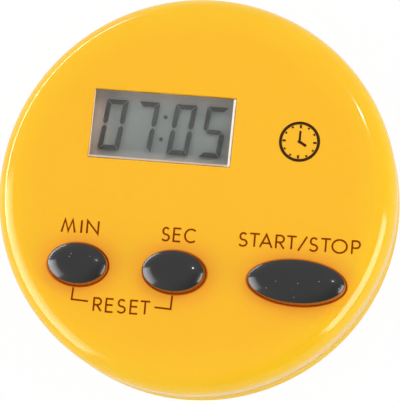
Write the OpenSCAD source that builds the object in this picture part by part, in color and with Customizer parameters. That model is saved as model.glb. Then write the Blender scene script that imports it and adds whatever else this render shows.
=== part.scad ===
// Round digital kitchen timer: two-piece case, window with a liquid crystal display, three domed
// keys over a silicone keypad, circuit board, buzzer disc, button cell behind a coin-slot door, and
// a magnet in the back. Millimetres. The origin is the middle of the back face; +Z points out of the
// front, +Y to twelve o'clock and +X to the right of someone who reads the display.

/* [Case] */
// Outside diameter of the case
case_d = 70; // [70:1:84]
// Height of the case from its back face to the crown of its front
case_h = 17.6; // [16:0.2:18]
// Height of the back cover, up to the parting line
back_h = 7.6; // [6.4:0.2:8]
// Radius of the slightly domed front
dome_r = 560; // [420:20:900]
// Rounding between the front and the side
edge_r = 4.5; // [3.75:0.25:5]
// Rounding between the side and the back
foot_r = 2.5; // [1.5:0.25:3]
// Thickness of the side wall
wall = 1.8; // [1.6:0.1:2.2]
// Thickness of the back cover's floor
floor_t = 1.8; // [1.6:0.1:1.9]
// Thickness of the front at its crown
face_t = 2.6; // [2.4:0.1:2.8]
// Bevel on each cover along the parting line
seam_c = 0.3; // [0.1:0.1:0.5]

/* [Window] */
// Middle of the window, left to right
win_x = -6.6; // [-7.2:0.2:-6.2]
// Middle of the window, above the case's centre
win_y = 10.55; // [10.35:0.2:11.35]
// Width of the window opening
win_w = 25; // [20:0.4:25.2]
// Height of the window opening
win_h = 12.2; // [10:0.2:12.6]
// Bevel round the front of the clear lens
lens_c = 0.4; // [0.1:0.1:0.6]
// How far the lens stands above the case at its middle
lens_rise = 0.25; // [0.1:0.05:0.6]

/* [Display] */
// Height of a digit
digit_h = 9; // [7:0.2:9.2]
// Width of a digit
digit_w = 3.8; // [3:0.1:3.8]
// Width of a digit's bars
stroke = 0.84; // [0.4:0.02:0.9]
// Lean of the digits, sideways per unit of height
lean = 0.1; // [0:0.01:0.14]

/* [Keys] */
// Height of the row of keys, from the case's centre
key_y = -14.6; // [-14.7:0.1:-13.7]
// Place of the minute key
min_x = -18.8; // [-19.4:0.2:-18]
// Place of the second key
sec_x = -1.8; // [-3.8:0.2:-0.8]
// Place of the start and stop key
start_x = 19.3; // [17.3:0.2:19.3]
// Width of the opening for the minute key
min_w = 10.8; // [9:0.2:11.4]
// Width of the opening for the second key
sec_w = 11.2; // [9:0.2:11.6]
// Width of the opening for the start and stop key
start_w = 17.2; // [14:0.2:17.4]
// Height of the openings for the two small keys
small_h = 7.6; // [7:0.1:8.2]
// Height of the opening for the start and stop key
start_h = 8; // [7:0.1:8.4]
// Room between a key and its opening
key_fit = 0.16; // [0.1:0.02:0.4]
// How far a key's crown stands above the front
key_rise = 3.2; // [2.4:0.1:3.4]
// How far a key goes down
key_travel = 0.9; // [0.5:0.1:1.1]

/* [Back] */
// Diameter of the button cell
cell_d = 11.6; // [9.5:0.1:11.6]
// Height of the button cell
cell_h = 5.4; // [4.2:0.1:5.4]
// Place of the cell, right of the case's centre
cell_x = 19.6; // [19.2:0.2:19.6]
// Place of the cell, above the case's centre
cell_y = 9.2; // [8.4:0.2:9.2]
// Turn that frees the battery door, in degrees
door_turn = 45; // [30:5:60]
// Width of the coin slot in the door
coin_w = 1.8; // [1.4:0.1:2.4]
// Diameter of the magnet
magnet_d = 18; // [12:1:18]
// Thickness of the magnet
magnet_t = 3; // [2:0.2:3.4]
// Diameter of the buzzer's brass plate
buzzer_d = 20; // [16:1:20]
// Diameter of the sound holes
sound_d = 1.6; // [1.2:0.1:1.9]

/* [Screws] */
// Shank diameter of the case screws
screw_d = 2.2; // [1.8:0.1:2.4]
// Head diameter of the case screws
screw_head_d = 4; // [3.4:0.1:4.2]
// Distance of the case screws from the case's centre
screw_r = 27.5; // [27.4:0.1:28]

/* [Hidden] */
$fn = 96;
case_r = case_d / 2;
in_r = case_r - wall;
fillet_r = case_r - edge_r;
fillet_z = case_h - dome_r + sqrt(pow(dome_r - edge_r, 2) - fillet_r * fillet_r);
dome_edge = fillet_r * dome_r / (dome_r - edge_r);
z_in = case_h - face_t;
corner = 1.4;

// Tongue of the front cover in the back cover's rebate
tongue_t = wall * 0.45;
tongue_h = 1.2;
tongue_fit = 0.1;

// Lens and display stack, from the front down
lens_fit = 0.05;
lens_flange = 1;
lens_flange_t = 0.75;
pocket_w = win_w + 2 * (lens_flange + lens_fit);
pocket_h = win_h + 2 * (lens_flange + lens_fit);
polariser_t = 0.2;
glass_t = 0.5;
cell_gap = 0.06;
reflector_t = 0.25;
lcd_top = z_in - 0.05;
pol_z = lcd_top - polariser_t;
fg_z = pol_z - glass_t;
gap_z = fg_z - cell_gap;
rg_z = gap_z - glass_t;
rf_z = rg_z - reflector_t;
ledge = 2.2;
lcd_x0 = win_x - win_w / 2 - 1.4;
lcd_x1 = win_x + win_w / 2 + 1.4;
lcd_y0 = win_y - win_h / 2 - 2.9;
lcd_y1 = win_y + win_h / 2 + 1.3;
holder_fit = 0.15;
holder_w = 0.9;

// Keypad stack, from the front down
key_lift = 0.05;
key_flange = 0.7;
key_flange_t = 0.8;
flange_fit = 0.3;
plunger_t = 1.2;
plunger_r = 2.5;
pill_t = 0.5;
pill_r = 1.9;
touch_gap = 0.02;
pad_t = 0.05;
pad_r = 2.2;
mat_t = 0.6;
mat_hole = 2.95;
skirt_r = 3.7;
key_top = z_in - key_lift;
key_base = key_top - key_flange_t;
plunger_z = key_base - plunger_t;
pill_z = plunger_z - pill_t;
board_top = pill_z - key_travel - touch_gap - pad_t;
board_t = 1.2;
board_z = board_top - board_t;
mat_top = board_top + mat_t;
board_edge = -2.8;
board_r = 30;
board_y0 = key_y - 6.3;
board_x1 = lcd_x1 + holder_fit + holder_w + 0.35;
lead_r = 0.45;
lead_gap = 1.2;

// Button cell, its well and its door
door_r = cell_d / 2 + 2.75;
door_t = floor_t + 0.5;
door_fit = 0.2;
lug_r = door_r + 1.25;
lug_half = 12;
lug_play = 1;
lug_fit = 0.1;
lug_t = 0.8;
chamber_r = lug_r + 0.2;
chamber_top = floor_t + lug_t + 2 * lug_fit;
cell_z = door_t + 0.05;
cell_top = cell_z + cell_h;
leaf_t = 0.25;
bore_r = cell_d / 2 + 0.3;
well_r = bore_r + 1.2;
well_top = cell_top + leaf_t + 0.8;
cap_h = 0.9;
gasket_h = 0.3;

// Magnet and buzzer
magnet_x = 0;
magnet_y = -8;
magnet_fit = 0.1;
buzzer_x = -15;
buzzer_y = 8.6;
plate_t = 0.25;
ceramic_t = 0.2;
plate_z = floor_t + 0.8;

// Screws
head_t = 1.2;
head_z = 1;
head_fit = 0.25;
hole_fit = 0.2;
pilot_fit = 0.05;
boss_r = 2.8;
board_screw_d = 1.8;
board_head_d = 3.4;
board_spots = [[-25, -3.4], [25.4, -5.6], [-4, 24.4]];
case_spots = [for (a = [60, 120, 240, 300]) [screw_r * cos(a), screw_r * sin(a)]];

// Height of the outside of the front over a place
function face_z(x, y) = case_h - dome_r + sqrt(dome_r * dome_r - x * x - y * y);

// Points of an oval with half axes a and b
function oval(a, b, n) = [for (i = [0:n - 1]) [a * cos(360 * i / n), b * sin(360 * i / n)]];

// Outline of a bar of half width a and height h with both upper corners bevelled
function bevelled(a, h, c) = [[-a, 0], [a, 0], [a, h - c], [a - c, h], [c - a, h], [-a, h - c]];

// Box from one corner to the opposite one
module box(p, q) {
    translate(p) cube(q - p);
}

// Round bar between two points
module bar(p, q, r) {
    v = q - p;
    translate(p) rotate([0, acos(v[2] / norm(v)), atan2(v[1], v[0])]) cylinder(h = norm(v), r = r);
}

// Insulated lead that leaves one face along Z and meets another along Z
module lead(p, rise_p, q, rise_q, r) {
    p1 = p + [0, 0, rise_p];
    q1 = q + [0, 0, rise_q];
    bar(p, p1, r);
    bar(p1, q1, r);
    bar(q1, q, r);
    translate(p1) sphere(1.05 * r);
    translate(q1) sphere(1.05 * r);
}

// Wedge between two angles, for cutting round features
module wedge(a0, a1, r, z0, z1) {
    m = (a0 + a1) / 2;
    pts = [[0, 0], r * [cos(a0), sin(a0)], 1.5 * r * [cos(m), sin(m)], r * [cos(a1), sin(a1)]];
    translate([0, 0, z0]) linear_extrude(z1 - z0) polygon(pts);
}

// Ring sector between two radii and two angles
module sector(r0, r1, a0, a1, z0, z1) {
    intersection() {
        difference() {
            translate([0, 0, z0]) cylinder(h = z1 - z0, r = r1);
            translate([0, 0, z0 - 1]) cylinder(h = z1 - z0 + 2, r = r0);
        }
        wedge(a0, a1, 2 * r1, z0 - 1, z1 + 1);
    }
}

// Opening for a key through the front, with room for its flange behind
module key_opening(x, w, h) {
    f = key_flange + flange_fit;
    translate([x, key_y, z_in - 1]) linear_extrude(face_t + 3) polygon(oval(w / 2, h / 2, 72));
    translate([x, key_y, z_in - 2.6]) linear_extrude(2.6) polygon(oval(w / 2 + f, h / 2 + f, 72));
}

module front_shell() {
    rotate_extrude($fn = 192) difference() {
        union() {
            intersection() {
                translate([0, back_h]) square([dome_edge, case_h]);
                translate([0, case_h - dome_r]) circle(dome_r, $fn = 1440);
            }
            translate([0, back_h]) square([case_r, fillet_z - back_h]);
            intersection() {
                translate([fillet_r, fillet_z]) circle(edge_r, $fn = 192);
                translate([0, back_h]) square([case_r, case_h]);
            }
            translate([in_r, back_h - tongue_h]) square([tongue_t, tongue_h + 1]);
        }
        polygon([[-1, back_h - 3], [in_r, back_h - 3], [in_r, fillet_z], [in_r - corner, z_in], [-1, z_in]]);
        polygon([[case_r - seam_c, back_h], [case_r + 1, back_h - 1], [case_r + 1, back_h + seam_c + 1],
            [case_r, back_h + seam_c]]);
    }
}

module front_cover() {
    color("orange") difference() {
        union() {
            front_shell();
            for (p = case_spots)
                translate([p[0], p[1], back_h]) cylinder(h = z_in - back_h + 0.3, r = boss_r);
            for (p = board_spots)
                translate([p[0], p[1], board_top]) cylinder(h = z_in - board_top + 0.3, r = 2.1);
        }
        key_opening(min_x, min_w, small_h);
        key_opening(sec_x, sec_w, small_h);
        key_opening(start_x, start_w, start_h);
        translate([win_x, win_y, 0]) {
            box([-win_w / 2, -win_h / 2, z_in - 1], [win_w / 2, win_h / 2, case_h + 1]);
            box([-pocket_w / 2, -pocket_h / 2, z_in - 1],
                [pocket_w / 2, pocket_h / 2, z_in + lens_flange_t]);
        }
        for (p = case_spots)
            translate([p[0], p[1], back_h - 1]) cylinder(h = z_in - back_h + 0.4, r = screw_d / 2 + pilot_fit);
        for (p = board_spots)
            translate([p[0], p[1], board_top - 1]) cylinder(h = 4.2, r = board_screw_d / 2 + pilot_fit);
    }
}

module back_shell() {
    rotate_extrude($fn = 192) difference() {
        union() {
            square([case_r - foot_r, back_h]);
            translate([0, foot_r]) square([case_r, back_h - foot_r]);
            translate([case_r - foot_r, foot_r]) circle(foot_r, $fn = 192);
        }
        translate([-1, floor_t]) square([in_r + 1, back_h]);
        translate([-1, back_h - tongue_h - tongue_fit]) square([in_r + tongue_t + tongue_fit + 1, back_h]);
        polygon([[case_r - seam_c, back_h], [case_r, back_h - seam_c], [case_r + 1, back_h - seam_c - 1],
            [case_r + 1, back_h + 1]]);
    }
}

module back_cover() {
    color("gold") difference() {
        union() {
            back_shell();
            for (p = case_spots)
                translate([p[0], p[1], 1]) cylinder(h = back_h - 1, r = boss_r + 0.5);
            translate([cell_x, cell_y, 1]) cylinder(h = chamber_top - 0.2, r = chamber_r + 0.8);
            translate([cell_x, cell_y, 1]) cylinder(h = well_top - 1, r = well_r);
            translate([magnet_x, magnet_y, 1]) cylinder(h = magnet_t + 0.2, r = magnet_d / 2 + 1.5);
            translate([buzzer_x, buzzer_y, 1]) cylinder(h = plate_z - 1, r = buzzer_d / 2 + 0.6);
        }
        for (p = case_spots) {
            translate([p[0], p[1], -1]) cylinder(h = head_z + head_t + 1, r = screw_head_d / 2 + head_fit);
            translate([p[0], p[1], -1]) cylinder(h = back_h + 2, r = screw_d / 2 + hole_fit);
            translate([p[0], p[1], -0.01]) cylinder(h = 0.31, r1 = screw_head_d / 2 + head_fit + 0.3,
                r2 = screw_head_d / 2 + head_fit);
        }
        translate([magnet_x, magnet_y, -1]) cylinder(h = magnet_t + 1, r = magnet_d / 2 + magnet_fit);
        translate([magnet_x, magnet_y, -0.01]) cylinder(h = 0.31, r1 = magnet_d / 2 + magnet_fit + 0.3,
            r2 = magnet_d / 2 + magnet_fit);
        translate([buzzer_x, buzzer_y, floor_t]) cylinder(h = plate_z, r = buzzer_d / 2 - 1.2);
        for (i = [0:5])
            translate([buzzer_x + 4 * cos(60 * i), buzzer_y + 4 * sin(60 * i), -1])
                cylinder(h = floor_t + 2, r = sound_d / 2);
        translate([buzzer_x, buzzer_y, -1]) cylinder(h = floor_t + 2, r = sound_d / 2);
        translate([cell_x, cell_y, 0]) {
            translate([0, 0, -1]) cylinder(h = chamber_top + 1, r = door_r + door_fit);
            translate([0, 0, -0.01])
                cylinder(h = 0.31, r1 = door_r + door_fit + 0.3, r2 = door_r + door_fit);
            translate([0, 0, 1]) cylinder(h = cell_top + leaf_t - 1, r = bore_r);
            for (a = [90, 270]) {
                sector(door_r - 1, chamber_r, a - door_turn - lug_half - lug_play, a + lug_half + lug_play,
                    floor_t, chamber_top);
                sector(door_r - 1, chamber_r, a - door_turn - lug_half - lug_play,
                    a - door_turn + lug_half + lug_play, -1, floor_t + 0.1);
            }
            box([-well_r - 1, -1.7, chamber_top + 1], [-bore_r + 1, 1.7, well_top + 1]);
            box([-1.7, -well_r - 1, cell_top - 0.2], [1.7, -bore_r + 1, cell_top + leaf_t]);
        }
    }
}

module window_lens() {
    w = win_w / 2 - lens_fit;
    h = win_h / 2 - lens_fit;
    zt = face_z(win_x, win_y) + lens_rise - z_in;
    fw = win_w / 2 + lens_flange;
    fh = win_h / 2 + lens_flange;
    color("lightcyan") translate([win_x, win_y, z_in]) {
        intersection() {
            rotate([90, 0, 0]) linear_extrude(2 * h + 2, center = true)
                polygon(bevelled(w, zt, lens_c));
            rotate([90, 0, 90]) linear_extrude(2 * w + 2, center = true)
                polygon(bevelled(h, zt, lens_c));
        }
        box([-fw, -fh, 0], [fw, fh, lens_flange_t]);
    }
}

module front_polariser() {
    color("gray") box([lcd_x0 + 0.5, lcd_y0 + ledge + 0.3, pol_z], [lcd_x1 - 0.5, lcd_y1 - 0.5, lcd_top]);
}

module lcd_front_glass() {
    color("lightblue") box([lcd_x0, lcd_y0, fg_z], [lcd_x1, lcd_y1, pol_z]);
}

// A seven-bar digit with mitred corners; the lean shifts its bars sideways with height
module digit(cx, bars) {
    w = digit_w / 2;
    h = digit_h / 2;
    t = stroke;
    g = 0.09;
    level = [[g - w, h], [w - g, h], [w - t - g, h - t], [t + g - w, h - t]];
    upright = [[w, h - g], [w - t, h - t - g], [w - t, 0.6 * t], [w - t / 2, g], [w, 0.6 * t]];
    middle = [[w - t / 2 - g, 0], [w - t - g, t / 2], [t + g - w, t / 2], [t / 2 + g - w, 0],
        [t + g - w, -t / 2], [w - t - g, -t / 2]];
    shapes = [level, upright, upright, level, upright, upright, middle];
    flips = [[1, 1], [1, 1], [1, -1], [1, -1], [-1, -1], [-1, 1], [1, 1]];
    for (i = bars)
        polygon([for (p = shapes[i]) [cx + flips[i][0] * p[0] + lean * flips[i][1] * p[1], flips[i][1] * p[1]]]);
}

module lcd_segments() {
    color("black") translate([win_x - 0.15, win_y + 0.35, gap_z]) linear_extrude(cell_gap) {
        digit(-8.9, [0, 1, 2, 3, 4, 5]);
        digit(-3.3, [0, 1, 2]);
        digit(3.3, [0, 1, 2, 3, 4, 5]);
        digit(8.9, [0, 2, 3, 5, 6]);
        translate([lean * 2, 2]) circle(0.36);
        translate([-lean * 2, -2]) circle(0.36);
    }
}

module lcd_seal() {
    color("dimgray") difference() {
        box([lcd_x0, lcd_y0 + ledge, gap_z], [lcd_x1, lcd_y1, fg_z]);
        box([lcd_x0 + 0.8, lcd_y0 + ledge + 0.8, gap_z - 1], [lcd_x1 - 0.8, lcd_y1 - 0.8, fg_z + 1]);
    }
}

module lcd_rear_glass() {
    color("lightblue") box([lcd_x0, lcd_y0 + ledge, rg_z], [lcd_x1, lcd_y1, gap_z]);
}

module reflector() {
    color("silver") box([lcd_x0 + 0.3, lcd_y0 + ledge + 0.3, rf_z], [lcd_x1 - 0.3, lcd_y1 - 0.3, rg_z]);
}

module display_holder() {
    f = holder_fit;
    o = holder_fit + holder_w;
    color("white") difference() {
        box([lcd_x0 - o, lcd_y0 - o, board_top], [lcd_x1 + o, lcd_y1 + o, z_in]);
        box([lcd_x0 - f, lcd_y0 - f, rf_z], [lcd_x1 + f, lcd_y1 + f, z_in + 1]);
        box([lcd_x0 + 1, lcd_y0 + ledge + 1, board_top - 1], [lcd_x1 - 1, lcd_y1 - 1, rf_z - 0.8]);
        box([lcd_x0 + 1.4, lcd_y0 + 0.2, board_top - 1], [lcd_x1 - 1.4, lcd_y0 + ledge - 0.2, z_in + 1]);
    }
}

module zebra_connector() {
    color("hotpink")
        box([lcd_x0 + 1.5, lcd_y0 + 0.3, board_top], [lcd_x1 - 1.5, lcd_y0 + ledge - 0.3, fg_z]);
}

module circuit_board() {
    color("green") difference() {
        intersection() {
            translate([0, 0, board_z]) linear_extrude(board_t)
                polygon([[-board_r, board_y0], [board_r, board_y0], [board_r, board_edge],
                    [board_x1, board_edge], [board_x1, board_r], [-26, board_r], [-26, -1], [-board_r, -1]]);
            translate([0, 0, board_z - 1]) cylinder(h = board_t + 2, r = board_r);
        }
        for (p = case_spots)
            translate([p[0], p[1], board_z - 1]) cylinder(h = board_t + 2, r = boss_r + 0.4);
        for (p = board_spots)
            translate([p[0], p[1], board_z - 1]) cylinder(h = board_t + 2, r = board_screw_d / 2 + hole_fit);
    }
}

// Two facing half discs on the board under a key
module pad_pair(x) {
    difference() {
        translate([x, key_y, board_top]) cylinder(h = pad_t, r = pad_r);
        box([x - 0.25, key_y - 4, board_top - 1], [x + 0.25, key_y + 4, board_top + 1]);
    }
}

module contact_pads() {
    color("gold") {
        pad_pair(min_x);
        pad_pair(sec_x);
        pad_pair(start_x);
    }
}

module chip_blob() {
    color("black") intersection() {
        translate([-6.5, -8, board_z + 6]) sphere(7.2);
        box([-20, -20, board_z - 4], [10, 10, board_z]);
    }
}

module crystal() {
    color("silver") {
        translate([3.5, -15.8, board_z - 1.05]) rotate([0, 90, 0]) cylinder(h = 6, r = 1);
        bar([2.5, -15.5, board_z - 1.05], [3.6, -15.5, board_z - 1.05], 0.15);
        bar([2.5, -16.1, board_z - 1.05], [3.6, -16.1, board_z - 1.05], 0.15);
        bar([2.5, -15.5, board_z], [2.5, -15.5, board_z - 1.2], 0.15);
        bar([2.5, -16.1, board_z], [2.5, -16.1, board_z - 1.2], 0.15);
    }
}

module boost_inductor() {
    color("saddlebrown") translate([-20, -6.6, 0]) {
        translate([0, 0, board_z - 0.5]) cylinder(h = 0.5, r = 2.4);
        translate([0, 0, board_z - 2]) cylinder(h = 1.6, r = 1.8);
        translate([0, 0, board_z - 2.4]) cylinder(h = 0.5, r = 2.4);
    }
}

module transistor() {
    color("black") {
        box([-14.6, -12.5, board_z - 1.1], [-11.7, -11.2, board_z - 0.1]);
        for (p = [[-14.1, -12.9], [-12.6, -12.9], [-13.35, -11.3]])
            box([p[0], p[1], board_z - 0.35], [p[0] + 0.4, p[1] + 0.5, board_z]);
    }
}

module chip_components() {
    color("tan") for (p = [[12, -7], [12, -9.2], [15.5, -7], [15.5, -9.2], [-12, -17], [-15, -17], [-2, 0.5],
        [-5, 0.5]])
        box([p[0], p[1], board_z - 0.6], [p[0] + 2, p[1] + 1.25, board_z]);
}

// Solid of matching oval rings: each ring gives its half width, half height and level
module oval_loft(rings) {
    n = 64;
    m = len(rings);
    pts = [for (r = rings) for (p = oval(r[0], r[1], n)) [p[0], p[1], r[2]]];
    sides = [for (j = [0:m - 2]) for (i = [0:n - 1])
        [j * n + i, (j + 1) * n + i, (j + 1) * n + (i + 1) % n, j * n + (i + 1) % n]];
    base = [[for (i = [0:n - 1]) i]];
    top = [[for (i = [n - 1:-1:0]) (m - 1) * n + i]];
    polyhedron(points = pts, faces = concat(base, sides, top));
}

// Key cap with a flange under the front and a domed crown above it
module key_cap(x, w, h) {
    a = w / 2 - key_fit;
    b = h / 2 - key_fit;
    zf = face_z(x, key_y);
    r = key_rise;
    f = key_flange + key_fit;
    d = 0.3;
    foot = [[a + f, b + f, key_base], [a + f, b + f, key_top], [a, b, key_top]];
    side = [for (p = [[0, 0.06], [0.1, 0.56], [0.17, 0.61], [d, 0.65]]) [a - p[0], b - p[0], zf + r * p[1]]];
    crown = [for (s = [0.9, 0.78, 0.64, 0.5, 0.34, 0.16])
        [a - b + (b - d) * s, (b - d) * s, zf + r * (0.65 + 0.35 * (1 - s * s))]];
    color([0.2, 0.2, 0.2]) translate([x, key_y, 0]) oval_loft(concat(foot, side, crown));
}

module min_key() {
    key_cap(min_x, min_w, small_h);
}

module sec_key() {
    key_cap(sec_x, sec_w, small_h);
}

module start_stop_key() {
    key_cap(start_x, start_w, start_h);
}

module plunger(x) {
    color("lightgray") translate([x, key_y, plunger_z]) cylinder(h = plunger_t, r = plunger_r);
}

module min_plunger() {
    plunger(min_x);
}

module sec_plunger() {
    plunger(sec_x);
}

module start_stop_plunger() {
    plunger(start_x);
}

module pill(x) {
    color("black") translate([x, key_y, pill_z]) cylinder(h = pill_t, r = pill_r);
}

module min_pill() {
    pill(min_x);
}

module sec_pill() {
    pill(sec_x);
}

module start_stop_pill() {
    pill(start_x);
}

// Thin cone of silicone between the mat and a plunger
module skirt(x) {
    color("whitesmoke") translate([x, key_y, 0]) rotate_extrude()
        polygon([[mat_hole, mat_top], [skirt_r, mat_top], [skirt_r, mat_top + 0.2],
            [plunger_r, plunger_z + 0.55], [plunger_r, plunger_z + 0.1]]);
}

module min_dome() {
    skirt(min_x);
}

module sec_dome() {
    skirt(sec_x);
}

module start_stop_dome() {
    skirt(start_x);
}

module keypad_mat() {
    color("gainsboro") difference() {
        box([min_x - 5, key_y - 5, board_top], [start_x + 5, key_y + 5, mat_top]);
        for (x = [min_x, sec_x, start_x])
            translate([x, key_y, board_top - 1]) cylinder(h = mat_t + 2, r = mat_hole);
    }
}

module buzzer_plate() {
    color("goldenrod") translate([buzzer_x, buzzer_y, plate_z]) cylinder(h = plate_t, r = buzzer_d / 2);
}

module buzzer_ceramic() {
    color("ivory") translate([buzzer_x, buzzer_y, plate_z + plate_t])
        cylinder(h = ceramic_t, r = buzzer_d * 0.35);
}

module buzzer_lead_red() {
    color("red") lead([buzzer_x + 3, buzzer_y - 1, plate_z + plate_t + ceramic_t], 1.2,
        [-9, 1.5, board_z], -1, lead_r);
}

module buzzer_lead_black() {
    color("black") lead([buzzer_x - 2, buzzer_y - buzzer_d / 2 + 1.4, plate_z + plate_t], 1.2,
        [-15.5, -2.5, board_z], -1, lead_r);
}

module battery_can() {
    color("silver") translate([cell_x, cell_y, cell_z]) cylinder(h = cell_h - cap_h, r = cell_d / 2);
}

module battery_gasket() {
    color("dimgray") translate([cell_x, cell_y, cell_top - cap_h]) difference() {
        cylinder(h = gasket_h, r = cell_d / 2 - 0.35);
        translate([0, 0, -1]) cylinder(h = gasket_h + 2, r = cell_d / 2 - 0.9);
    }
}

module battery_cap() {
    color("gainsboro") translate([cell_x, cell_y, cell_top - cap_h])
        cylinder(h = cap_h, r = cell_d / 2 - 0.9);
}

module positive_contact() {
    color("silver") translate([cell_x, cell_y, 0]) {
        box([-cell_d / 2 - 0.3, -1.5, chamber_top + 1.2], [-cell_d / 2, 1.5, well_top + 0.6]);
        box([-well_r - 1.2, -1.5, well_top + 0.3], [-cell_d / 2, 1.5, well_top + 0.6]);
    }
}

module negative_contact() {
    color("silver") translate([cell_x, cell_y, cell_top]) {
        cylinder(h = leaf_t, r = 3.4);
        box([-1.5, -well_r - 1.6, 0], [1.5, 0, leaf_t]);
    }
}

module battery_lead_red() {
    zp = max(well_top + 1.5, board_top + 1.3);
    color("red") lead([cell_x - well_r - 0.5, cell_y - 0.6, well_top + 0.6], zp - well_top - 0.6,
        [lcd_x1 + holder_fit + holder_w + lead_gap, board_edge - 1.8, board_top], 1, lead_r);
}

module battery_lead_black() {
    zp = max(cell_top + 1.4, board_top + 1.1);
    color("black") lead([cell_x, cell_y - well_r - 1, cell_top + leaf_t], zp - cell_top - leaf_t,
        [cell_x - 2.4, board_edge - 2.4, board_top], 0.8, lead_r);
}

module battery_door() {
    color("gold") translate([cell_x, cell_y, 0]) difference() {
        union() {
            cylinder(h = 0.3, r1 = door_r - 0.3, r2 = door_r);
            translate([0, 0, 0.3]) cylinder(h = door_t - 0.3, r = door_r);
            for (a = [90, 270])
                sector(door_r - 1.5, lug_r, a - lug_half, a + lug_half,
                    floor_t + lug_fit, floor_t + lug_fit + lug_t);
            translate([0, 0, floor_t + lug_fit]) difference() {
                cylinder(h = lug_t, r = door_r);
                translate([0, 0, -1]) cylinder(h = lug_t + 2, r = door_r - 1.5);
            }
        }
        intersection() {
            box([-coin_w / 2, -6.2, -1], [coin_w / 2, 6.2, 1]);
            translate([0, 0, -1]) cylinder(h = 2, r = 6.2);
        }
    }
}

module magnet() {
    color("dimgray") translate([magnet_x, magnet_y, 0]) {
        cylinder(h = 0.3, r1 = magnet_d / 2 - 0.3, r2 = magnet_d / 2);
        translate([0, 0, 0.3]) cylinder(h = magnet_t - 0.3, r = magnet_d / 2);
    }
}

module case_screws() {
    color("silver") for (p = case_spots)
        translate([p[0], p[1], head_z]) difference() {
            union() {
                cylinder(h = 0.3, r1 = screw_head_d / 2 - 0.3, r2 = screw_head_d / 2);
                translate([0, 0, 0.3]) cylinder(h = head_t - 0.3, r = screw_head_d / 2);
                translate([0, 0, head_t]) cylinder(h = 8.4, r = screw_d / 2);
                translate([0, 0, head_t + 8.4]) cylinder(h = 0.8, r1 = screw_d / 2, r2 = 0.3);
            }
            box([-1.2, -0.28, -1], [1.2, 0.28, 0.7]);
            box([-0.28, -1.2, -1], [0.28, 1.2, 0.7]);
        }
}

module board_screws() {
    color("silver") for (p = board_spots)
        translate([p[0], p[1], board_z - 0.9]) difference() {
            union() {
                cylinder(h = 0.9, r = board_head_d / 2);
                translate([0, 0, 0.9]) cylinder(h = 4, r = board_screw_d / 2);
            }
            box([-1, -0.25, -1], [1, 0.25, 0.5]);
            box([-0.25, -1, -1], [0.25, 1, 0.5]);
        }
}

front_cover();
back_cover();
window_lens();
front_polariser();
lcd_front_glass();
lcd_segments();
lcd_seal();
lcd_rear_glass();
reflector();
display_holder();
zebra_connector();
circuit_board();
contact_pads();
chip_blob();
crystal();
boost_inductor();
transistor();
chip_components();
min_key();
sec_key();
start_stop_key();
min_plunger();
sec_plunger();
start_stop_plunger();
min_pill();
sec_pill();
start_stop_pill();
min_dome();
sec_dome();
start_stop_dome();
keypad_mat();
buzzer_plate();
buzzer_ceramic();
buzzer_lead_red();
buzzer_lead_black();
battery_can();
battery_gasket();
battery_cap();
positive_contact();
negative_contact();
battery_lead_red();
battery_lead_black();
battery_door();
magnet();
case_screws();
board_screws();
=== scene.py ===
"""Looks of a round digital kitchen timer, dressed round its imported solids. Lengths are in millimetres."""

import bpy
import numpy as np
from mathutils import Matrix


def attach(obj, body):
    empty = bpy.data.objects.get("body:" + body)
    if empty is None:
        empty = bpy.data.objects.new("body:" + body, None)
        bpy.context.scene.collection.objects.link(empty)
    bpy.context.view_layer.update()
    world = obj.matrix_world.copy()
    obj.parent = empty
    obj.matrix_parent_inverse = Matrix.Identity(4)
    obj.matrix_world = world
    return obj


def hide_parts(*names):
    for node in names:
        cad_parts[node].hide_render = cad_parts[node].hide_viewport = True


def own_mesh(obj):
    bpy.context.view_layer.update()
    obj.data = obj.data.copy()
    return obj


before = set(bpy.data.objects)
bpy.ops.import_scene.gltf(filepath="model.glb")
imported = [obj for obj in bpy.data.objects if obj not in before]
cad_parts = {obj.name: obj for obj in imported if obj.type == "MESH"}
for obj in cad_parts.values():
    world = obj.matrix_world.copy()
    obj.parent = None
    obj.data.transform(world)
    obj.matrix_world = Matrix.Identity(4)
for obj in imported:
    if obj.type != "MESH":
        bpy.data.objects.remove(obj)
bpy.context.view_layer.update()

MM = 0.001

# Case: shallow dome, rounded edge, wall down to the seam
CASE_R = 35.0
CASE_H = 17.6
DOME_R = 560.0
EDGE_R = 4.5
EDGE_X = CASE_R - EDGE_R
EDGE_Z = CASE_H - DOME_R + np.sqrt((DOME_R - EDGE_R) ** 2 - EDGE_X ** 2)
DOME_EDGE = EDGE_X * DOME_R / (DOME_R - EDGE_R)
RING_R = 32.6
WALL_ROWS = (10.5, 9.0)
SEAM_Z = 7.6
SEAM_C = 0.04

# Inside of the front, and the tongue that goes into the back
INSIDE_R = 33.2
INSIDE_Z = 15.0
INSIDE_CORNER = 1.4
TONGUE_R = 34.01
TONGUE_Z = 6.4

# Round lip of an opening: how far it reaches out, and how deep
LIP = 0.2
LIP_DROP = 0.35

# Window and its lens
WIN_X, WIN_Y = -6.6, 10.55
WIN_W, WIN_H = 25.0, 12.2
LENS_FIT = 0.05
LENS_FLANGE = 1.0
LENS_FLANGE_T = 0.75
LENS_BEVEL = 0.4
LENS_RISE = 0.25

# Keys: middle, and width and height of the opening
KEY_Y = -14.6
KEYS = {
    "min": (-18.8, 10.8, 7.6),
    "sec": (-1.8, 11.2, 7.6),
    "start_stop": (19.3, 17.2, 8.0),
}

# Key caps: inset from the opening, gap to its wall, rise over the front, levels and reach of the flange,
# and shift to the right of the opening's middle
KEY_FIT = 0.16
KEY_GAP = 0.06
KEY_RISE = 3.2
KEY_BASE = 14.15
KEY_TOP = 14.95
KEY_FLANGE = 0.86
KEY_SEAT = {"min": 0.15, "sec": -0.06, "start_stop": 0.08}

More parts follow.
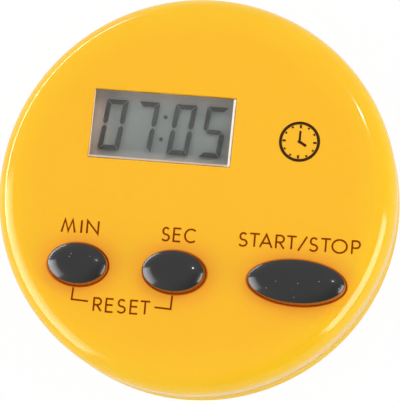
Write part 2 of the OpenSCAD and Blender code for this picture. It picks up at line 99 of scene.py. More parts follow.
# Silicone domes that push the keys back: radii, levels, and heights of the foot and of the wall
DOME_FOOT_R = 3.7
DOME_HOLE_R = 2.95
DOME_HEAD_R = 2.5
MAT_TOP = 12.08
DOME_TOP = 13.5
DOME_FOOT_H = 0.2
DOME_WALL_H = 0.45

# Screw posts inside the front: places, then radius, pilot radius, top of the pilot and foot
POST_RING = 27.5
CASE_POSTS = [(POST_RING * np.cos(a), POST_RING * np.sin(a)) for a in np.radians([60, 120, 240, 300])]
CASE_POST = (2.8, 1.15, 14.4, SEAM_Z)
BOARD_POSTS = [(-25.0, -3.4), (25.4, -5.6), (-4.0, 24.4)]
BOARD_POST = (2.1, 0.95, 14.68, 11.48)
POST_HEAD = INSIDE_Z + 0.05

# Ink: how deep it starts, how high it stands, and how much a stroke stands over the one it crosses
INK_SINK = 0.02
INK_H = 0.03
INK_STEP = 0.003

# Reach of the painted glow, a deeper orange round a key
PAINTED_GLOW_REACH = 3.5

# Share of plain white that the floor shows, and the width of the picture in pixels
WHITE = 0.975
PICTURE_W = 400


def grid_faces(rows, cols, closed):
    """Corner numbers of the four-sided faces of a grid; closed joins the last column to the first."""
    number = np.arange(rows * cols).reshape(rows, cols)
    here = number if closed else number[:, :-1]
    after = np.roll(number, -1, 1) if closed else number[:, 1:]
    return np.stack([here[:-1], after[:-1], after[1:], here[1:]], -1).reshape(-1, 4)


def skin(sheets):
    """One skin from several grids. Each sheet is (points, closed, flipped). Points that round to the same
    place become one, and a face with two corners in one place becomes a triangle."""
    points = np.concatenate([p.reshape(-1, 3) for p, _, _ in sheets])
    faces = []
    start = 0
    for p, closed, flipped in sheets:
        corner = grid_faces(p.shape[0], p.shape[1], closed) + start
        faces.append(corner[:, ::-1] if flipped else corner)
        start += p.shape[0] * p.shape[1]
    places = np.round(points, 3) + 0.0
    _, first, number = np.unique(places, axis=0, return_index=True, return_inverse=True)
    faces = number.reshape(-1)[np.concatenate(faces)]
    same = faces == np.roll(faces, -1, axis=1)
    thin = same.sum(1) == 1
    triangles = faces[thin][~same[thin]].reshape(-1, 3)
    return points[first], faces[same.sum(1) == 0].tolist() + triangles.tolist()


def piece(name, sheets, finish, body, stands_for=(), crease=35.0, normals=None, trim=None):
    """Makes one named piece from its grids, smooth up to the crease angle in degrees. normals maps points
    to exact directions, with zeros where the mesh's own are right. trim is a second finish and a test that
    picks its faces by their directions and their middles."""
    points, faces = skin(sheets)
    mesh = bpy.data.meshes.new(name)
    mesh.from_pydata((points * MM).tolist(), [], faces)
    mesh.polygons.foreach_set("use_smooth", np.ones(len(mesh.polygons), bool))
    mesh.set_sharp_from_angle(angle=np.radians(crease))
    if normals is not None:
        mesh.normals_split_custom_set_from_vertices(normals(points).tolist())
    mesh.materials.append(finish)
    if trim is not None:
        mesh.materials.append(trim[0])
        way, middle = np.empty((2, 3 * len(mesh.polygons)))
        mesh.polygons.foreach_get("normal", way)
        mesh.polygons.foreach_get("center", middle)
        picked = trim[1](way.reshape(-1, 3), middle.reshape(-1, 3) / MM)
        mesh.polygons.foreach_set("material_index", picked.astype(np.int32))
    made = bpy.data.objects.new(name, mesh)
    bpy.context.scene.collection.objects.link(made)
    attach(made, body)
    if stands_for:
        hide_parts(*stands_for)
    return made


def outline(corners, step=0.5):
    """Points along a closed polygon, each side cut into equal steps from its corner up to the next."""
    corners = np.array(corners, float)
    parts = []
    for p, q in zip(corners, np.roll(corners, -1, 0)):
        count = int(round(np.abs(q - p).max() / step))
        parts.append(p + (q - p) * np.arange(count)[:, None] / count)
    return np.concatenate(parts)


def raised(xy, z):
    """Points of a flat outline lifted to a level, which may differ from point to point."""
    return np.column_stack([xy, np.broadcast_to(z, len(xy))])


def outer_level(xy):
    """Level of the outside over a place: a shallow dome, then the circle of the edge that meets it."""
    r = np.hypot(xy[..., 0], xy[..., 1])
    dome = CASE_H - DOME_R + np.sqrt(DOME_R ** 2 - r ** 2)
    edge = EDGE_Z + np.sqrt(np.maximum(EDGE_R ** 2 - (r - EDGE_X) ** 2, 0))
    return np.where(r < DOME_EDGE, dome, edge)


def inner_level(xy):
    """Level of the inside over a place: flat, then a straight slope into the wall."""
    r = np.hypot(xy[..., 0], xy[..., 1])
    slope = (INSIDE_Z - EDGE_Z) / INSIDE_CORNER
    return INSIDE_Z - slope * np.maximum(r - (INSIDE_R - INSIDE_CORNER), 0)


def outer_normal(points):
    """Directions of the dome and of the rounded edge for the points that lie on them, zeros elsewhere."""
    r = np.hypot(points[:, 0], points[:, 1])
    on = (np.abs(points[:, 2] - outer_level(points)) < 1e-6) & (points[:, 2] > EDGE_Z + 0.05)
    dome = points - [0, 0, CASE_H - DOME_R]
    ring = points * [1, 1, 0] / np.maximum(r, 1e-9)[:, None] * EDGE_X + [0, 0, EDGE_Z]
    way = np.where((r < DOME_EDGE)[:, None], dome, points - ring)
    return np.where(on[:, None], way / np.linalg.norm(way, axis=1)[:, None], 0.0)


def spread(first, last, count):
    """Outlines between two matching ones, first and last among them."""
    part = np.linspace(0, 1, count)[:, None, None]
    return first * (1 - part) + last * part


def lip_rows(rim, hole):
    """Quarter round from a rim on the outside into a hole: sin and cos of the turn give inset and drop."""
    turn = np.radians(np.linspace(0, 90, 7))[1:, None]
    xy = hole + (rim - hole) * (1 - np.sin(turn))[..., None]
    z = outer_level(rim) - LIP_DROP * (1 - np.cos(turn))
    return [raised(p, q) for p, q in zip(xy, z)]


def key_opening(cell, key):
    """Skin round a key's opening, in rows: from the cell's edge to the oval, over the lip, down the wall
    that follows the key, and back to the cell's edge inside. A point of the edge meets the oval's point at
    the same turn."""
    x, w, h = KEYS[key]
    edge = outline(cell)
    low, high = edge.min(0), edge.max(0)
    way = (edge - (low + high) / 2) / (high - low)
    turn = np.arctan2(way[:, 1], way[:, 0])
    round_way = np.column_stack([np.cos(turn), np.sin(turn)])
    rim = [x, KEY_Y] + round_way * [w / 2 + LIP, h / 2 + LIP]
    snug = KEY_FIT - KEY_GAP
    hole = [x + KEY_SEAT[key], KEY_Y] + round_way * [w / 2 - snug, h / 2 - snug]
    rows = [raised(p, outer_level(p)) for p in spread(edge, rim, 9)]
    rows += lip_rows(rim, hole)
    rows += [raised(p, inner_level(p)) for p in spread(hole, edge, 4)]
    return np.stack(rows), True, False


def window_opening(cell):
    """Skin round the window: like a key's opening, with square corners and a wider pocket behind."""
    edge = outline(cell)
    low, high = edge.min(0), edge.max(0)
    way = (edge - (low + high) / 2) / (high - low) * 2
    middle = np.array([WIN_X, WIN_Y])
    half = np.array([WIN_W, WIN_H]) / 2
    hole = middle + way * half
    out = np.where(np.abs(way) > 1 - 1e-6, np.sign(way), 0.0)
    pocket = middle + way * (half + LENS_FLANGE + LENS_FIT)
    rim = hole + LIP * out
    rows = [raised(p, outer_level(p)) for p in spread(edge, rim, 5)]
    rows += lip_rows(rim, hole)
    shelf = INSIDE_Z + LENS_FLANGE_T
    rows += [raised(hole, shelf), raised(pocket, shelf), raised(pocket, INSIDE_Z), raised(edge, INSIDE_Z)]
    return np.stack(rows), True, False


def plain_field(x0, x1, y0, y1, level, flipped):
    """Rectangle of the front without an opening, as a half-millimetre grid at the given level."""
    x = np.linspace(x0, x1, int(round(2 * (x1 - x0))) + 1)
    y = np.linspace(y0, y1, int(round(2 * (y1 - y0))) + 1)
    xy = np.stack(np.meshgrid(x, y), -1)
    return np.concatenate([xy, level(xy)[..., None]], -1), False, flipped


def case_rim(edge):
    """Rim of the front, in rows: from the fields' common edge out to a circle, round the edge's quarter
    circle, down the wall, over the seam's chamfer, round the tongue, and back inside."""
    turn = np.arctan2(edge[:, 1], edge[:, 0])
    way = np.column_stack([np.cos(turn), np.sin(turn)])
    crowding = 1.6
    part = 1 - (1 - np.linspace(0, 1, 24)) ** crowding
    rows = [raised(p, outer_level(p)) for p in edge + part[:, None, None] * (RING_R * way - edge)]
    first = np.arcsin((RING_R - EDGE_X) / EDGE_R)
    bend = np.linspace(first, np.pi / 2, 26)[1:]
    profile = np.column_stack([EDGE_X + EDGE_R * np.sin(bend), EDGE_Z + EDGE_R * np.cos(bend)]).tolist()
    profile += [(CASE_R, z) for z in WALL_ROWS]
    profile += [(CASE_R, SEAM_Z + SEAM_C), (CASE_R - SEAM_C, SEAM_Z), (TONGUE_R, SEAM_Z),
                (TONGUE_R, TONGUE_Z), (INSIDE_R, TONGUE_Z), (INSIDE_R, EDGE_Z)]
    rows += [raised(r * way, z) for r, z in profile]
    rows += [raised(p, inner_level(p)) for p in spread(RING_R * way, edge, 6)]
    return np.stack(rows), True, True


def turned(x, y, profile, count=48):
    """Profile of radii and levels turned about an upright line through (x, y). It starts at the underside,
    so that the faces point outwards."""
    turn = np.linspace(0, 2 * np.pi, count, endpoint=False)
    r, z = np.array(profile, float).T
    ring = np.stack([x + r[:, None] * np.cos(turn), y + r[:, None] * np.sin(turn)], -1)
    levels = np.broadcast_to(z[:, None, None], ring.shape[:2] + (1,))
    return np.concatenate([ring, levels], -1), True, False


def screw_post(place, shape):
    """Round post with a blind pilot hole, as a closed profile turned about the screw's line."""
    radius, pilot, pilot_top, foot = shape
    return turned(*place, [(0, pilot_top), (pilot, pilot_top), (pilot, foot), (radius, foot),
                           (radius, POST_HEAD), (0, POST_HEAD)])


def in_opening(way, middle):
    """Picks the lips and walls of the key openings: the faces inside the ovals where the lips start."""
    picked = np.zeros(len(middle), bool)
    for x, w, h in KEYS.values():
        reach = np.hypot((middle[:, 0] - x) / (w / 2 + LIP), (middle[:, 1] - KEY_Y) / (h / 2 + LIP))
        picked |= (reach < 1) & (middle[:, 2] > INSIDE_Z)
    return picked


def front_cover(finish, opening):
    """Front of the case: fields with and without openings, the rim round them, and the screw posts. The
    numbers are the edges of the fields, on the half millimetre, so that neighbours share their points."""
    left, right = -25.5, 29.0
    low, mid, high, top = -19.5, -9.0, 3.0, 18.5
    min_end, sec_end = -11.0, 6.5
    cut_x, cut_y = 25.5, -14.5
    win_left, win_right, win_end = -21.0, 7.5, 26.5
    cells = {
        "min": [(left, low), (min_end, low), (min_end, mid), (left, mid)],
        "sec": [(min_end, low), (sec_end, low), (sec_end, mid), (min_end, mid)],
        "start_stop": [(sec_end, low), (cut_x, low), (right, cut_y), (right, mid), (sec_end, mid)],
    }
    sheets = [key_opening(cells[key], key) for key in KEYS]
    sheets.append(window_opening([(win_left, high), (win_right, high), (win_right, top), (win_left, top)]))
    for field in ((left, right, mid, high), (left, win_left, high, top), (win_right, win_end, high, top)):
        sheets.append(plain_field(*field, outer_level, False))
        sheets.append(plain_field(*field, inner_level, True))
    sheets.append(case_rim(outline([(left, low), (cut_x, low), (right, cut_y), (right, high),
                                    (win_end, high), (win_end, top), (left, top)])))
    sheets += [screw_post(place, CASE_POST) for place in CASE_POSTS]
    sheets += [screw_post(place, BOARD_POST) for place in BOARD_POSTS]
    # The lips and walls of the key openings take the second finish, a painted glow
    piece("front_shell", sheets, finish, "case", ["front_cover"], crease=40,
          normals=outer_normal, trim=(opening, in_opening))


def on_wall(way, middle):
    """Picks the wall of a key: the faces steeper than 60 degrees."""
    return np.abs(way[:, 2]) < 0.5


def key_cap(key, finish, side):
    """Key as stacked ovals: flange, drafted wall, a shoulder on a three-point curve, and a crown whose
    level falls with a power of the distance from its ridge. It sits a little off the opening's middle."""
    x, w, h = KEYS[key]
    x += KEY_SEAT[key]
    a, b = w / 2 - KEY_FIT, h / 2 - KEY_FIT
    foot = outer_level(np.array([x, KEY_Y]))
    draft, inset = 0.1, 0.3
    start, knee, edge = 0.06 * KEY_RISE, 0.56 * KEY_RISE, 0.65 * KEY_RISE
    crown = 0.34 * KEY_RISE
    power = 2.4
    steep = (knee - start) / draft
    slope = power * crown / (b - inset)
    corner = (edge - slope * inset - knee + steep * draft) / (steep - slope)
    bend = np.linspace(0, 1, 9)
    weights = np.stack([(1 - bend) ** 2, 2 * bend * (1 - bend), bend ** 2])
    shoulder_in = np.array([draft, corner, inset]) @ weights
    shoulder_z = np.array([knee, knee + steep * (corner - draft), edge]) @ weights
    s = np.linspace(1, 0, 24)[1:]
    into = np.concatenate([[0, 0.0], shoulder_in, b - (b - inset) * s])
    half_a = np.concatenate([[0, a + KEY_FLANGE, a + KEY_FLANGE], a - into])
    half_b = np.concatenate([[0, b + KEY_FLANGE, b + KEY_FLANGE], b - into])
    z = np.concatenate([[KEY_BASE, KEY_BASE, KEY_TOP, KEY_TOP, foot + start], foot + shoulder_z,
                        foot + edge + crown * (1 - s ** power)])
    turn = np.linspace(0, 2 * np.pi, 128, endpoint=False)
    grid = np.stack([x + half_a[:, None] * np.cos(turn), KEY_Y + half_b[:, None] * np.sin(turn),
                     np.repeat(z[:, None], len(turn), 1)], -1)
    # The steep wall takes the second finish, which carries a painted reflection of the case
    piece(key + "_cap", [(grid, True, False)], finish, key + "_button", [key + "_key"],
          crease=50, trim=(side, on_wall))


def return_dome(key, finish):
    """Thin silicone cone between the mat and a key's plunger: a closed profile turned about the key's
    middle."""
    x = KEYS[key][0]
    profile = [(DOME_HOLE_R, MAT_TOP), (DOME_FOOT_R, MAT_TOP), (DOME_FOOT_R, MAT_TOP + DOME_FOOT_H),
               (DOME_HEAD_R, DOME_TOP), (DOME_HEAD_R, DOME_TOP - DOME_WALL_H), (DOME_HOLE_R, MAT_TOP)]
    made = piece(key + "_return_dome", [turned(x, KEY_Y, profile)], finish, "case",
                 [key + "_dome"])
    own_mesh(made)


def rounded_box(half_w, half_h, corner, count=6):
    """Rectangle round the origin with quarter-circle corners, count points to a corner."""
    turn = np.radians(np.linspace(0, 90, count)[None] + 90 * np.arange(4)[:, None])
    sx, sy = np.array([1, -1, -1, 1])[:, None], np.array([1, 1, -1, -1])[:, None]
    x = sx * (half_w - corner) + corner * np.cos(turn)
    y = sy * (half_h - corner) + corner * np.sin(turn)
    return np.column_stack([x.reshape(-1), y.reshape(-1)])


def capped(grid):
    """Grid closed by a row before the first and one after the last, each gathered in its middle."""
    ends = [np.broadcast_to(row.mean(1, keepdims=True), row.shape) for row in (grid[:1], grid[-1:])]
    return np.concatenate([ends[0], grid, ends[1]])


def on_bevel(way, middle):
    """Picks the bevel of the lens by its slope, all but the side towards the top."""
    return (way[:, 2] > 0.3) & (way[:, 2] < 0.93) & (way[:, 1] < 0.3)


def window_lens(finish, edge):
    """Clear lens as stacked rectangles: flange, straight wall, bevel with softened edges, flat top. Each
    row is half width, half height, corner, level and how far up the bevel it is, which also shifts it, so
    that the bevel is widest at the right."""
    middle = np.array([WIN_X, WIN_Y])
    half_w, half_h = WIN_W / 2 - LENS_FIT, WIN_H / 2 - LENS_FIT
    flange_w, flange_h = WIN_W / 2 + LENS_FLANGE, WIN_H / 2 + LENS_FLANGE
    top = outer_level(middle) + LENS_RISE
    shelf = INSIDE_Z + LENS_FLANGE_T
    soft = 0.06
    corner, flange_corner = 0.1, 0.2
    bevel_w, bevel_h, bevel_corner = 0.28, 0.23, 0.02
    bevel_shift = np.array([-0.08, 0.03])
    pin = (0.02, 0.02, 0.01)
    rows = [(*pin, INSIDE_Z, 0), (flange_w, flange_h, flange_corner, INSIDE_Z, 0),
            (flange_w, flange_h, flange_corner, shelf, 0), (half_w, half_h, corner, shelf, 0),
            (half_w, half_h, corner, top - LENS_BEVEL - soft, 0)]
    for k, drop in ((0.05, LENS_BEVEL - 0.01), (0.9, soft), (1.0, 0.014), (1.15, 0.0), (9.0, 0.0)):
        rows.append((half_w - bevel_w * k, half_h - bevel_h * k, corner + bevel_corner * k, top - drop, k))
    rows.append((*pin, top, 1))
    grid = np.stack([raised(middle + bevel_shift * k + rounded_box(w, h, r), z) for w, h, r, z, k in rows])
    # The bevel takes the second finish, a painted highlight
    piece("clear_lens", [(capped(grid), True, False)], finish, "case", ["window_lens"],
          crease=25, trim=(edge, on_bevel))


def arc(x, y, rx, ry, first, last, count=22):
    """Points of an oval's arc between two turns in degrees."""
    turn = np.radians(np.linspace(first, last, count))
    return np.column_stack([x + rx * np.cos(turn), y + ry * np.sin(turn)])


def line(*points):
    """A path of straight parts."""
    return np.array(points, float)


def joined(*parts):
    """One path from parts that follow each other."""
    return np.concatenate(parts)


# Capitals as pen strokes in a box of width 1 and height 1
STROKES = {
    "A": [line((0, 0), (0.5, 1), (1, 0)), line((0.2, 0.33), (0.8, 0.33))],
    "C": [arc(0.58, 0.5, 0.58, 0.5, 48, 312)],
    "E": [line((1, 1), (0, 1), (0, 0), (1, 0)), line((0, 0.53), (0.92, 0.53))],
    "I": [line((0.5, 0), (0.5, 1))],
    "M": [line((0, 0), (0.22, 1), (0.5, 0.1), (0.78, 1), (1, 0))],
    "N": [line((0, 0), (0, 1), (1, 0), (1, 1))],
    "O": [arc(0.5, 0.5, 0.5, 0.5, 0, 360, 48)],
    "P": [joined(line((0, 0), (0, 1), (0.5, 1)), arc(0.55, 0.73, 0.45, 0.27, 90, -90), line((0, 0.46)))],
    "R": [joined(line((0, 0), (0, 1), (0.5, 1)), arc(0.52, 0.74, 0.42, 0.26, 90, -90), line((0, 0.48))),
          line((0.42, 0.48), (1, 0))],
    "S": [joined(arc(0.5, 0.74, 0.41, 0.26, 35, 262), arc(0.47, 0.245, 0.5, 0.245, 82, -150))],
    "T": [line((0, 1), (1, 1)), line((0.5, 0), (0.5, 1))],
    "/": [line((0, -0.06), (1, 1.06))],
}

# Words over the keys: left end of the baseline, turn in degrees, pen width, each letter's left and right
CAP_H = 2.55
PEN = 0.3
WORDS = [
    ((-22.47, -9.27), 0.7, 1.12 * PEN, [("M", 0, 2.72), ("I", 3.4, 3.9), ("N", 4.5, 6.8)]),
    ((-4.71, -9.38), 0.7, PEN, [("S", 0, 1.55), ("E", 2.0, 3.5), ("C", 3.95, 6.1)]),
    ((8.74, -9.18), 0.8, PEN, [
        ("S", -0.05, 1.6), ("T", 1.75, 3.7), ("A", 3.55, 5.9), ("R", 6.3, 8.0), ("T", 8.15, 10.05),
        ("/", 10.15, 11.85), ("S", 12.1, 13.75), ("T", 14.0, 15.95), ("O", 15.95, 18.75),
        ("P", 19.35, 20.95)]),
    ((-15.4, -22.52), 0.7, PEN, [
        ("R", 0, 1.62), ("E", 2.15, 3.68), ("S", 4.2, 5.85), ("E", 6.45, 8.0), ("T", 8.15, 10.1)]),
]
BRACKETS = [
    line((-19.16, -18.62), (-19.26, -20.68), (-16.35, -20.8)),
    line((-1.78, -18.62), (-1.85, -20.98), (-4.65, -20.87)),
]

# Clock sign: middle, radius, and pen widths of ring and ticks, then each hand's turn, length and width
SIGN_X, SIGN_Y = 17.51, 9.95
SIGN_R = 3.3
SIGN_RING = 0.5
SIGN_TICK = 0.34
SIGN_HANDS = ((90, 0.58, 0.36), (-30, 0.42, 0.46))


def ink_strip(path, width, lift):
    """Flat strip of ink carried along a path: each point gets two edges half a width away along the mean
    of its two sides' directions, stretched by the mitre up to a limit and turned a quarter. The strip lies
    on the dome, lift above it."""
    least_cos, most_reach = 0.2, 2.4
    looped = np.allclose(path[0], path[-1])
    step = np.diff(path, axis=0)
    step /= np.linalg.norm(step, axis=1)[:, None]
    before = np.concatenate([step[-1:] if looped else step[:1], step])
    after = np.concatenate([step, step[:1] if looped else step[-1:]])
    side = before + after
    side /= np.maximum(np.linalg.norm(side, axis=1), 1e-6)[:, None]
    reach = np.minimum(1 / np.maximum((side * before).sum(1), least_cos), most_reach)
    across = np.column_stack([-side[:, 1], side[:, 0]]) * (width / 2 * reach)[:, None]
    left, right = path + across, path - across
    corners = ((left, -INK_SINK), (right, -INK_SINK), (right, lift), (left, lift))
    grid = np.stack([raised(p, outer_level(p) + h) for p, h in corners], 1)
    return grid if looped else capped(grid), True, True


def printed_words(finish):
    """Ink of the words and of the bracket that joins the two small keys."""
    sheets = []
    for start, turn, pen, letters in WORDS:
        c, s = np.cos(np.radians(turn)), np.sin(np.radians(turn))
        for letter, x0, x1 in letters:
            box_w = max(x1 - x0 - pen, 0.0)
            for k, path in enumerate(STROKES[letter]):
                p = path * [box_w, CAP_H - pen] + [x0 + pen / 2, pen / 2]
                p = np.array(start) + p @ np.array([[c, s], [-s, c]])
                sheets.append(ink_strip(p, pen, INK_H + INK_STEP * k))
    sheets += [ink_strip(p, PEN, INK_H) for p in BRACKETS]
    piece("key_words", sheets, finish, "case")


def clock_sign(finish):
    """Plain sign of a clock face: a ring, twelve ticks and two hands."""
    middle = np.array([SIGN_X, SIGN_Y])
    sheets = [ink_strip(middle + arc(0, 0, SIGN_R, SIGN_R, 0, 360, 73), SIGN_RING, INK_H)]
    for k in range(12):
        way = SIGN_R * np.array([np.cos(np.pi / 6 * k), np.sin(np.pi / 6 * k)])
        inner = 0.72 if k % 3 == 0 else 0.8
        sheets.append(ink_strip(middle + line(inner * way, 0.9 * way), SIGN_TICK, INK_H + 2 * INK_STEP))
    for turn, length, width in SIGN_HANDS:
        way = SIGN_R * np.array([np.cos(np.radians(turn)), np.sin(np.radians(turn))])
        sheets.append(ink_strip(middle + line(-0.1 * way, length * way), width, INK_H + INK_STEP))
    piece("clock_sign", sheets, finish, "case")


class Nodes:
    """Short ways to add and join the nodes of one tree."""

    def __init__(self, tree):
        self.tree = tree

    def add(self, kind, **settings):
        """A new node with its settings."""
        node = self.tree.nodes.new(kind)
        for key, value in settings.items():
            setattr(node, key, value)
        return node

    def put(self, value, socket):
        """Links a socket to an input, or sets the input to a fixed value."""
        if isinstance(value, bpy.types.NodeSocket):
            self.tree.links.new(value, socket)
        else:
            socket.default_value = value

    def math(self, operation, *values):
        """Result of an operation on sockets and fixed numbers."""
        node = self.add("ShaderNodeMath", operation=operation)
        for value, socket in zip(values, node.inputs):
            self.put(value, socket)
        return node.outputs["Value"]

    def span(self, value, first, last, low=0.0, high=1.0, smooth=False):
        """Carries a value from first and last over to low and high, and holds it at both ends."""
        node = self.add("ShaderNodeMapRange", interpolation_type="SMOOTHSTEP" if smooth else "LINEAR")
        for socket, number in (("From Min", first), ("From Max", last), ("To Min", low), ("To Max", high)):
            node.inputs[socket].default_value = number
        self.put(value, node.inputs["Value"])
        return node.outputs["Result"]


class Finish(Nodes):
    """A procedural finish: constants on the shader's sockets, and patterns on Object coordinates."""

    def __init__(self, name, **sockets):
        self.material = bpy.data.materials.new(name)
        self.material.use_nodes = True
        super().__init__(self.material.node_tree)
        self.shader = self.tree.nodes["Principled BSDF"]
        self.place = self.add("ShaderNodeTexCoord").outputs["Object"]
        for socket, value in sockets.items():
            self.shader.inputs[socket.replace("_", " ")].default_value = value

    def noise(self, size, detail=2.0):
        """Noise whose lumps are about size millimetres."""
        node = self.add("ShaderNodeTexNoise")
        node.inputs["Scale"].default_value = 1 / (size * MM)
        node.inputs["Detail"].default_value = detail
        self.put(self.place, node.inputs["Vector"])
        return node.outputs["Fac"]

    def reach(self, middle=(0, 0, 0), stretch=(1, 1, 0)):
        """Distance in metres from a middle given in millimetres, after a stretch along each axis. Without
        them it is the distance from the case's upright axis."""
        shift = self.add("ShaderNodeVectorMath", operation="SUBTRACT")
        self.put(self.place, shift.inputs[0])
        self.put(tuple(np.array(middle) * MM), shift.inputs[1])
        scale = self.add("ShaderNodeVectorMath", operation="MULTIPLY")
        self.put(shift.outputs["Vector"], scale.inputs[0])
        self.put(stretch, scale.inputs[1])
        length = self.add("ShaderNodeVectorMath", operation="LENGTH")
        self.put(scale.outputs["Vector"], length.inputs[0])
        return length.outputs["Value"]

    def along(self, axis, first, last):
        """How far a place lies from first to last along an axis, both in millimetres, as 0 to 1."""
        parts = self.add("ShaderNodeSeparateXYZ")
        self.put(self.place, parts.inputs["Vector"])
        return self.span(parts.outputs[axis], first * MM, last * MM)

    def ramp(self, value, stops):
        """Colour ramp over a value; stops are (place, (r, g, b))."""
        node = self.add("ShaderNodeValToRGB")
        marks = node.color_ramp.elements
        while len(marks) < len(stops):
            marks.new(0.5)
        for mark, (place, colour) in zip(marks, stops):
            mark.position = place
            mark.color = (*colour, 1.0)
        self.put(value, node.inputs["Fac"])
        return node.outputs["Color"]

    def blend(self, share, first, second, way="MIX"):
        """Colour between two by a share, or the paler of both where way is LIGHTEN."""
        node = self.add("ShaderNodeMix", data_type="RGBA", blend_type=way)
        self.put(share, node.inputs[0])
        self.put(first, node.inputs[6])
        self.put(second, node.inputs[7])
        return node.outputs[2]

    def paint(self, colour):
        """Base colour from a pattern."""
        self.put(colour, self.shader.inputs["Base Color"])

    def mottle(self, size, dark, light):
        """Base colour that drifts between two close tones."""
        self.paint(self.ramp(self.noise(size, detail=3.0), [(0.3, dark), (0.7, light)]))

    def polish(self, size, low, high):
        """Roughness that drifts between two values."""
        self.put(self.span(self.noise(size), 0.0, 1.0, low, high), self.shader.inputs["Roughness"])

    def grain(self, size, height):
        """Bump of lumps of about size millimetres and height millimetres."""
        node = self.add("ShaderNodeBump")
        node.inputs["Strength"].default_value = 1.0
        node.inputs["Distance"].default_value = height * MM
        self.put(self.noise(size), node.inputs["Height"])
        self.put(node.outputs["Normal"], self.shader.inputs["Normal"])

    def cover(self, share, other):
        """Shows another shader instead of the finish's own, by a share."""
        mix = self.add("ShaderNodeMixShader")
        self.put(share, mix.inputs["Fac"])
        self.put(self.shader.outputs["BSDF"], mix.inputs[1])
        self.put(other, mix.inputs[2])
        self.put(mix.outputs["Shader"], self.tree.nodes["Material Output"].inputs["Surface"])


def case_orange(name, ior, smooth, rough):
    """Moulded orange with faint flow marks and orange peel, and painted light: yellower towards the rim,
    and a painted glow of deeper orange by the keys, for light through the translucent plastic.
    """
    f = Finish(name, IOR=ior, Subsurface_Weight=0.15, Subsurface_Scale=0.002,
               Subsurface_Radius=(1.0, 0.4, 0.06))
    # Painted light: the colour turns yellower towards the rim, mixed with drifting flow marks
    outward = f.span(f.reach(), 0.0, 1.08 * CASE_R * MM)
    far = f.ramp(f.math("MULTIPLY_ADD", f.noise(9.0), 0.12, outward),
                 [(0.0, (0.95, 0.478, 0.003)), (0.78, (0.95, 0.48, 0.003)),
                  (0.92, (0.95, 0.525, 0.003)), (1.0, (0.95, 0.585, 0.003))])
    # Painted glow: deeper orange close round each key
    nearest = None
    for x, w, h in KEYS.values():
        stretch = (1 / (w / 2 + PAINTED_GLOW_REACH), 1 / (h / 2 + PAINTED_GLOW_REACH), 1 / (2 * PAINTED_GLOW_REACH))
        reach = f.reach((x, KEY_Y, CASE_H), stretch)
        nearest = reach if nearest is None else f.math("MINIMUM", nearest, reach)
    f.paint(f.blend(f.span(nearest, 0.5 * MM, 1.05 * MM, smooth=True), (0.98, 0.405, 0.006, 1.0), far))
    f.polish(3.0, smooth, rough)
    f.grain(0.9, 0.0012)
    return f.material


def key_charcoal():
    """Polished charcoal plastic with a few pale specks of dust."""
    f = Finish("key_charcoal", IOR=1.4, Coat_Weight=0.35, Coat_Roughness=0.07)
    specks = f.add("ShaderNodeTexVoronoi")
    specks.inputs["Scale"].default_value = 1 / (1.7 * MM)
    f.put(f.place, specks.inputs["Vector"])
    f.paint(f.ramp(specks.outputs["Distance"],
                   [(0.04, (0.2, 0.2, 0.2)), (0.085, (0.006, 0.0056, 0.0052))]))
    f.polish(0.35, 0.16, 0.26)
    f.grain(0.5, 0.001)
    return f.material


def key_wall_painted_reflection():
    """Polished wall of a key with a painted reflection of the orange case: dark brown under the shoulder,
    redder at the foot.
    """
    f = Finish("key_wall_painted_reflection", IOR=1.5)
    # Painted reflection: redder towards the foot, where the orange case would show in the wall
    f.paint(f.ramp(f.along("Z", CASE_H - 0.5, CASE_H + 0.6 * KEY_RISE),
                   [(0.0, (0.62, 0.15, 0.008)), (0.5, (0.24, 0.066, 0.01)), (1.0, (0.12, 0.045, 0.02))]))
    f.polish(0.5, 0.08, 0.14)
    f.grain(0.3, 0.0006)
    return f.material


def ink(name, dark, light):
    """Matt pad-printed ink."""
    f = Finish(name, IOR=1.45, Specular_IOR_Level=0.0)
    f.mottle(0.4, dark, light)
    f.polish(0.5, 0.38, 0.5)
    f.grain(0.12, 0.001)
    return f.material


def clear(name, tint, see_through=0.0, ior=1.49):
    """Clear plate: refracts for the eye and lets lamps through. see_through adds a plain, unbent part."""
    f = Finish(name, IOR=ior, Transmission_Weight=1.0, Base_Color=(*tint, 1.0))
    f.polish(4.0, 0.02, 0.04)
    f.grain(6.0, 0.0008)
    pass_on = f.add("ShaderNodeBsdfTransparent")
    pass_on.inputs["Color"].default_value = (*tint, 1.0)
    shadow = f.add("ShaderNodeLightPath").outputs["Is Shadow Ray"]
    f.cover(f.math("MAXIMUM", shadow, see_through), pass_on.outputs["BSDF"])
    return f.material


def plain(name, dark, light, rough, size=1.2, bump=0.002, **sockets):
    """Ordinary finish: two close tones, a drifting roughness and a fine bump."""
    f = Finish(name, **sockets)
    f.mottle(size, dark, light)
    f.polish(size * 0.6, rough - 0.05, rough + 0.05)
    f.grain(size * 0.3, bump)
    return f.material


def tone(r, g, b, apart=0.08):
    """A pair of close tones round a colour given as it shows on screen, 0 to 1."""
    colour = np.array([r, g, b])
    linear = np.where(colour <= 0.04045, colour / 12.92, ((colour + 0.055) / 1.055) ** 2.4)
    return tuple(linear * (1 - apart)), tuple(np.minimum(linear * (1 + apart), 1.0))


def lens_painted_highlight():
    """Painted highlight on the lens's bevel: white along the right side, warmer and duller along the
    others.
    """
    f = Finish("lens_painted_highlight", IOR=1.49)
    right = WIN_X + WIN_W / 2
    # Painted highlight: white on the right side's bevel, warmer elsewhere
    f.paint(f.ramp(f.along("X", right - 1.4, right - 0.7),
                   [(0.0, (0.74, 0.64, 0.57)), (1.0, (0.88, 0.87, 0.85))]))
    f.polish(0.7, 0.3, 0.4)
    f.grain(0.4, 0.001)
    return f.material


